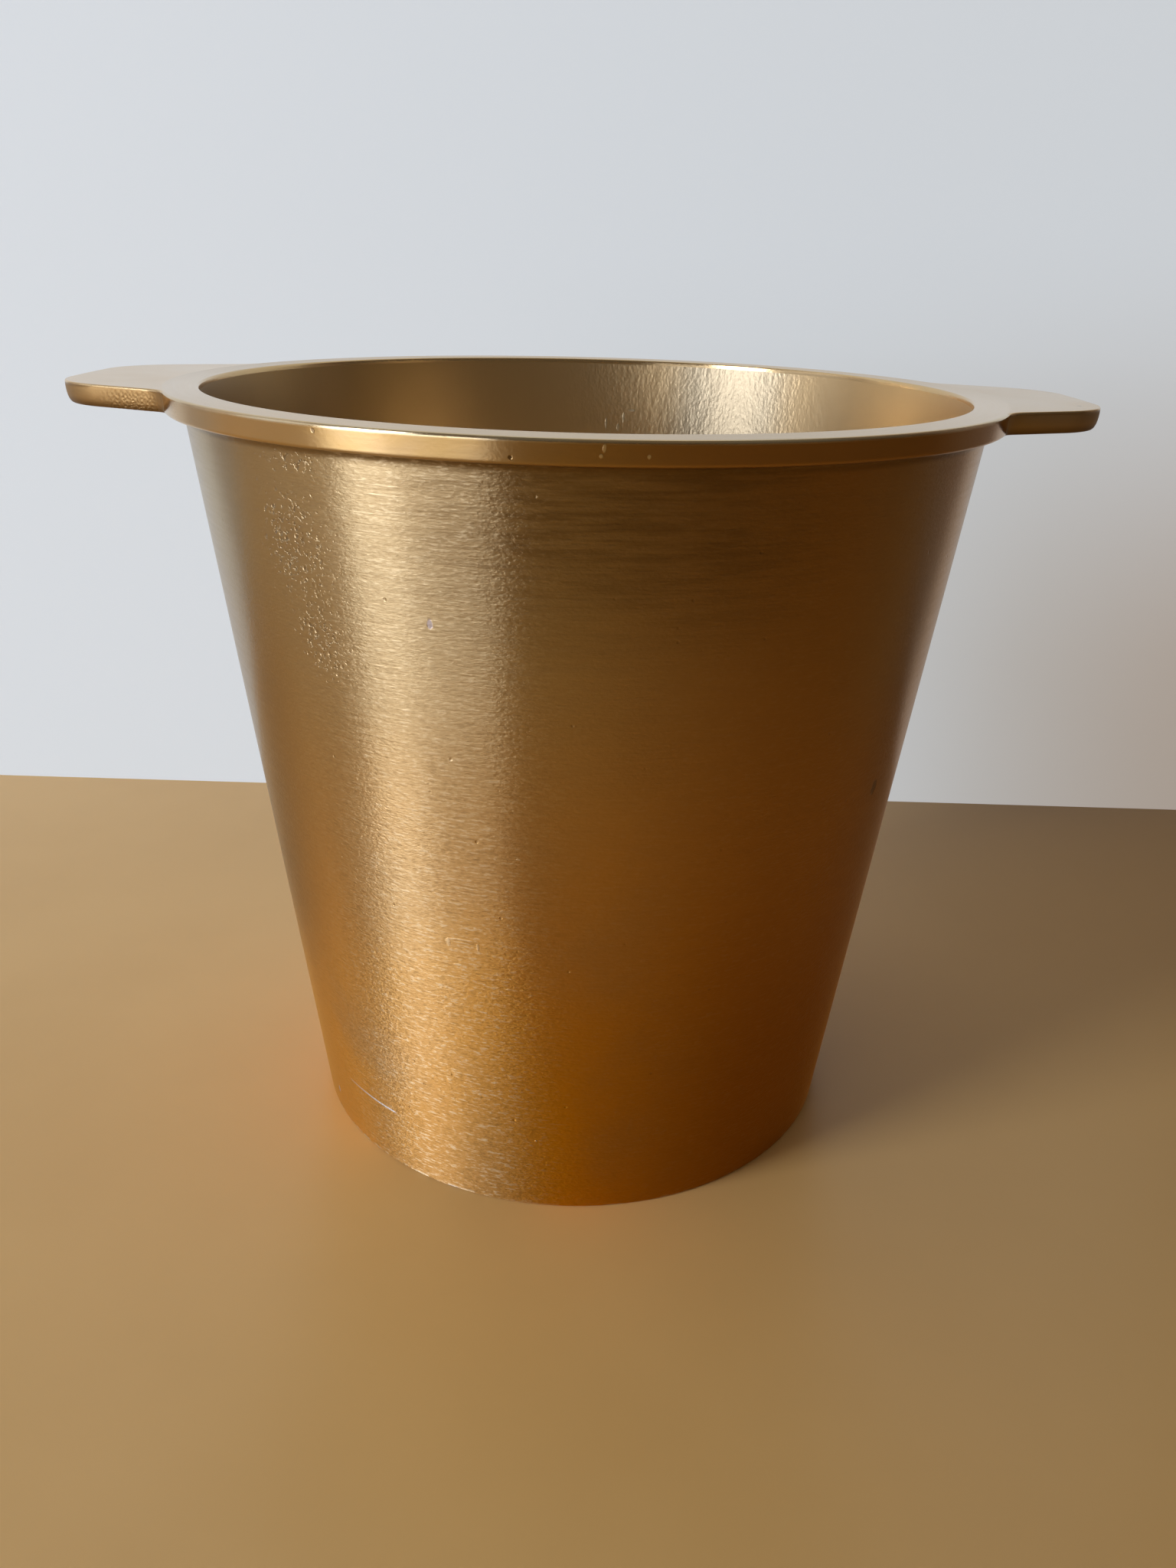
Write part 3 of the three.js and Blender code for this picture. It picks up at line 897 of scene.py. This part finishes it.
def cast_gold(name="cast_gold"):
    """Patches of two golds, painted darker and browner at the left as shade, with ripples and pebbles that
    are strongest high up, and a duller silvery tone on the rough patch, darkened as painted shade under the
    highlight.
    """
    finish = Finish(name, metallic=1.0, anisotropic=0.5, anisotropic_rotation=0.25)
    patch = finish.noise(finish.scaled(40, 40, 9), detail=3.0)
    tone = finish.blend(finish.fade(patch, 0.3, 0.7, 0.15, 0.3), CAST_GOLD_AND_TOP_REFLECTION, CAST_BROWN_AND_SHADE)
    # Painted shade: darker and browner towards the left.
    tone = finish.blend(finish.fade(finish.x, -0.03, -0.07), tone, CAST_BROWN_AND_SHADE)
    tone = finish.blend(finish.fade(finish.x, -0.074, -0.086, 0.0, 0.9), tone, BROWN_GOLD_AND_SHADE)
    about = finish.sums("ARCTAN2", finish.y, finish.x)
    high = finish.fade(finish.z, 0.09, 0.15)
    rough = finish.fade(finish.sums("ABSOLUTE", finish.sums("SUBTRACT", about, 1.20)), 0.60, 0.25, 0.0, 0.82)
    rough = finish.total(finish.times(rough, high), 0.18)
    ripple = finish.noise(finish.scaled(750, 750, 330), detail=2.0)
    pebbles = finish.noise(finish.scaled(1100, 1100, 850), detail=1.0)
    height = finish.total(finish.times(ripple, 0.00009), finish.times(pebbles, 0.00007))
    height = finish.times(height, rough)
    # On the rough patch a duller, silvery tone, also darkened as painted shade to hold down the highlight
    # there.
    silvery = finish.fade(finish.sums("ABSOLUTE", finish.sums("SUBTRACT", about, 1.08)), 0.30, 0.12)
    tone = finish.blend(finish.times(silvery, high), tone, CAST_SILVER_AND_SHADE)
    tone, height = marked(finish, tone, height, INSIDE_MARKS)
    roughness = finish.fade(patch, 0.3, 0.7, 0.40, 0.42)
    return finish.wear(base_color=tone, roughness=roughness, normal=finish.bump(height),
                       tangent=finish.lathe_lines())


# %% [markdown]
# ## The handles' finish
# The handles were ground and rubbed by hand. Faint scratches cross them, the soft underside is painted
# darker as shade, and the flat tops are rubbed smoother and paler, partly as a painted reflection of the pale
# wall.

# %% Hand-finished gold for the handles
def handle_gold():
    """Patches of two golds, browner on the left handle, pale on top partly as a painted reflection, painted
    dark below as shade, with one small pit.
    """
    finish = Finish("handle_gold", metallic=1.0)
    patch = finish.noise(finish.scaled(30, 30, 60), detail=3.0)
    tone = finish.blend(finish.fade(patch, 0.4, 0.75), GOLD, DULL_GOLD)
    tone = finish.blend(finish.fade(finish.x, 0.02, -0.02), tone, BROWN_GOLD_AND_SHADE)
    # The flat top is rubbed paler, partly as a painted reflection of the pale wall.
    tone = finish.blend(finish.fade(finish.z, 0.1993, 0.1998), tone, CAST_GOLD_AND_TOP_REFLECTION)
    # Painted shade: the underside is darkened.
    below = finish.fade(finish.z, 0.1970, 0.1950)
    tone = finish.blend(finish.times(below, 0.8), tone, DARK_PATINA_AND_SHADE)
    rubbed = finish.noise(finish.scaled(500, 120, 1500), detail=2.0)
    grain = finish.noise(finish.scaled(1000, 1000, 1400), detail=2.0)
    height = finish.total(finish.times(rubbed, 0.000004), finish.times(grain, 0.000006))
    pit = spot(finish, (120.0, -18.0, 200.0), 1.4, 1.4)
    tone = finish.blend(pit, tone, DARK_PATINA_AND_SHADE)
    uneven = finish.fade(patch, 0.3, 0.7, 0.0, 0.05)
    roughness = finish.total(finish.fade(finish.z, 0.1988, 0.1998, 0.50, 0.15), uneven)
    return finish.wear(base_color=tone, roughness=roughness, normal=finish.bump(height))


def put_on(piece, *materials):
    """Gives a piece its finishes, in slot order."""
    for material in materials:
        piece.data.materials.append(material)


turned, cast, rim_finish, handle_finish = turned_gold(), cast_gold(), rim_gold(), handle_gold()
put_on(wall, turned, cast)
put_on(rim, rim_finish, turned, cast)
put_on(floor_skin, cast_gold("floor_gold"), turned)
for made in handles.values():
    put_on(made, handle_finish)
print("finishes:", ", ".join(material.name for material in (turned, cast, rim_finish, handle_finish)))

# %% [markdown]
# ## The stage
# A tan floor, a pale wall close behind, two panels of soft light at the left front, a broad weak one at
# the left and a dim warm room. The floor is tinted towards the table in the photo, and isn't a plain pale
# one, and it is painted darker towards the right as shade. The floor is tinted towards the table in the
# photo, and isn't the plain pale one that the stage should have. A metal bucket shows mostly what stands
# round it, so the floor colours it too, and the width of the panels sets the width of its bright band. The
# middle of the wall gives off a little light of its own to the camera and to reflections, which keeps it
# pale, and at its lower right that light is warm as a painted reflection. Its ends are painted browner as
# shade, and from behind it is clear, so that it hides nothing.

# %% Floor and wall
def sheet(name, corners):
    """One flat face through four corners that belongs to the stage."""
    mesh = bpy.data.meshes.new(name)
    mesh.from_pydata(corners, [], [(0, 1, 2, 3)])
    made = bpy.data.objects.new(name, mesh)
    bpy.context.scene.collection.objects.link(made)
    return made


FAR = 4
WALL_AT = 0.206
WALL_HALF = 3
WALL_HIGH = 1.6
FLOOR_TONE = (0.78, 0.475, 0.16, 1)
FLOOR_CLOUD = (0.83, 0.515, 0.18, 1)
FLOOR_RIGHT_SHADE = (0.60, 0.33, 0.09, 1)
WALL_TONE = (0.72, 0.75, 0.78, 1)
WALL_LEFT_SHADE = (0.42, 0.40, 0.37, 1)
WALL_RIGHT_SHADE = (0.46, 0.38, 0.31, 1)
WALL_GLOW = (0.77, 0.81, 0.83, 1)
WARM_GLOW_REFLECTION = (0.55, 0.46, 0.38, 1)

ground = sheet("floor", [(-FAR, -FAR, 0), (FAR, -FAR, 0), (FAR, FAR, 0), (-FAR, FAR, 0)])
backdrop = sheet("backdrop", [
    (-WALL_HALF, WALL_AT, 0), (WALL_HALF, WALL_AT, 0),
    (WALL_HALF, WALL_AT, WALL_HIGH), (-WALL_HALF, WALL_AT, WALL_HIGH),
])


def floor_paint():
    """Tan paint, faintly cloudy, painted darker towards the right as shade."""
    finish = Finish("tan_floor", roughness=0.35)
    cloudy = finish.noise(finish.scaled(9, 9, 9), detail=4.0)
    tone = finish.blend(finish.fade(cloudy, 0.3, 0.7), FLOOR_TONE, FLOOR_CLOUD)
    # Painted shade: darker towards the right.
    tone = finish.blend(finish.fade(finish.x, -0.05, 0.40), tone, FLOOR_RIGHT_SHADE)
    return finish.wear(base_color=tone)


def wall_paint():
    """Pale paint with ends painted browner as shade, which glows a little in the middle and turns warm at the
    lower right as a painted reflection.
    """
    finish = Finish("pale_wall", roughness=0.7)
    lit = finish.within(finish.x, -0.42, 0.33, 0.05)
    # Painted shade: the ends of the wall are browner.
    far = finish.blend(finish.fade(finish.x, -0.1, 0.1), WALL_LEFT_SHADE, WALL_RIGHT_SHADE)
    finish.wear(base_color=finish.blend(lit, far, WALL_TONE))
    paths = finish.add("LightPath").node.outputs
    seen = finish.sums("MAXIMUM", paths["Is Camera Ray"], paths["Is Glossy Ray"])
    seen = finish.sums("MAXIMUM", seen, paths["Is Transmission Ray"])
    # Painted reflection: the glow turns warm at the lower right.
    warm = finish.times(finish.fade(finish.x, 0.08, 0.30), finish.fade(finish.z, 0.26, 0.06))
    hue = finish.blend(warm, WALL_GLOW, WARM_GLOW_REFLECTION)
    glow = finish.add("Emission", {"Color": hue, "Strength": 1.0})
    pale = finish.add("MixShader", {0: finish.times(seen, lit, 0.6), 1: finish.shader.outputs[0], 2: glow})
    behind = finish.add("NewGeometry", output="Backfacing")
    shown = finish.add("MixShader", {0: behind, 1: pale, 2: finish.add("BsdfTransparent")})
    finish.tree.links.new(shown, finish.tree.nodes["Material Output"].inputs["Surface"])
    return finish.material


put_on(ground, floor_paint())
put_on(backdrop, wall_paint())

# %% Light panels and room
DAYLIGHT = (0.92, 1.0, 1.2)
ROOM_TINT = (1.0, 0.90, 0.78, 1)
PANEL_DISTANCE = 1.8


def panel(name, bearing, level, width, height, energy):
    """Upright area light at a bearing in degrees left of the front, facing the bucket's axis."""
    light = bpy.data.lights.new(name, "AREA")
    light.shape = "RECTANGLE"
    light.size, light.size_y, light.energy, light.color = width, height, energy, DAYLIGHT
    made = bpy.data.objects.new(name, light)
    angle = math.radians(bearing)
    made.location = (-PANEL_DISTANCE * math.sin(angle), -PANEL_DISTANCE * math.cos(angle), level)
    made.rotation_euler = (Vector((0, 0, level)) - made.location).to_track_quat("-Z", "Y").to_euler()
    made.visible_camera = False
    bpy.context.scene.collection.objects.link(made)
    print("%s at %s, %.0f W" % (name, [round(v, 2) for v in made.location], energy))


panel("main_panel", bearing=56.5, level=0.85, width=0.58, height=1.5, energy=24.5)
panel("side_panel", bearing=34, level=0.20, width=0.74, height=0.40, energy=5.0)
panel("left_panel", bearing=90, level=0.85, width=1.30, height=1.5, energy=4.5)

world = bpy.data.worlds.new("room")
world.use_nodes = True
nodes, links = world.node_tree.nodes, world.node_tree.links
heading = nodes.new("ShaderNodeSeparateXYZ")
dome = nodes.new("ShaderNodeMapRange")
for name, value in (("From Min", 0.1), ("From Max", 0.9), ("To Min", 0.06), ("To Max", 0.16)):
    dome.inputs[name].default_value = value
links.new(nodes.new("ShaderNodeTexCoord").outputs["Generated"], heading.inputs[0])
links.new(heading.outputs["Z"], dome.inputs["Value"])
links.new(dome.outputs["Result"], nodes["Background"].inputs["Strength"])
nodes["Background"].inputs["Color"].default_value = ROOM_TINT
bpy.context.scene.world = world
bpy.context.scene.view_settings.view_transform = "Standard"

# %% [markdown]
# ## Finish
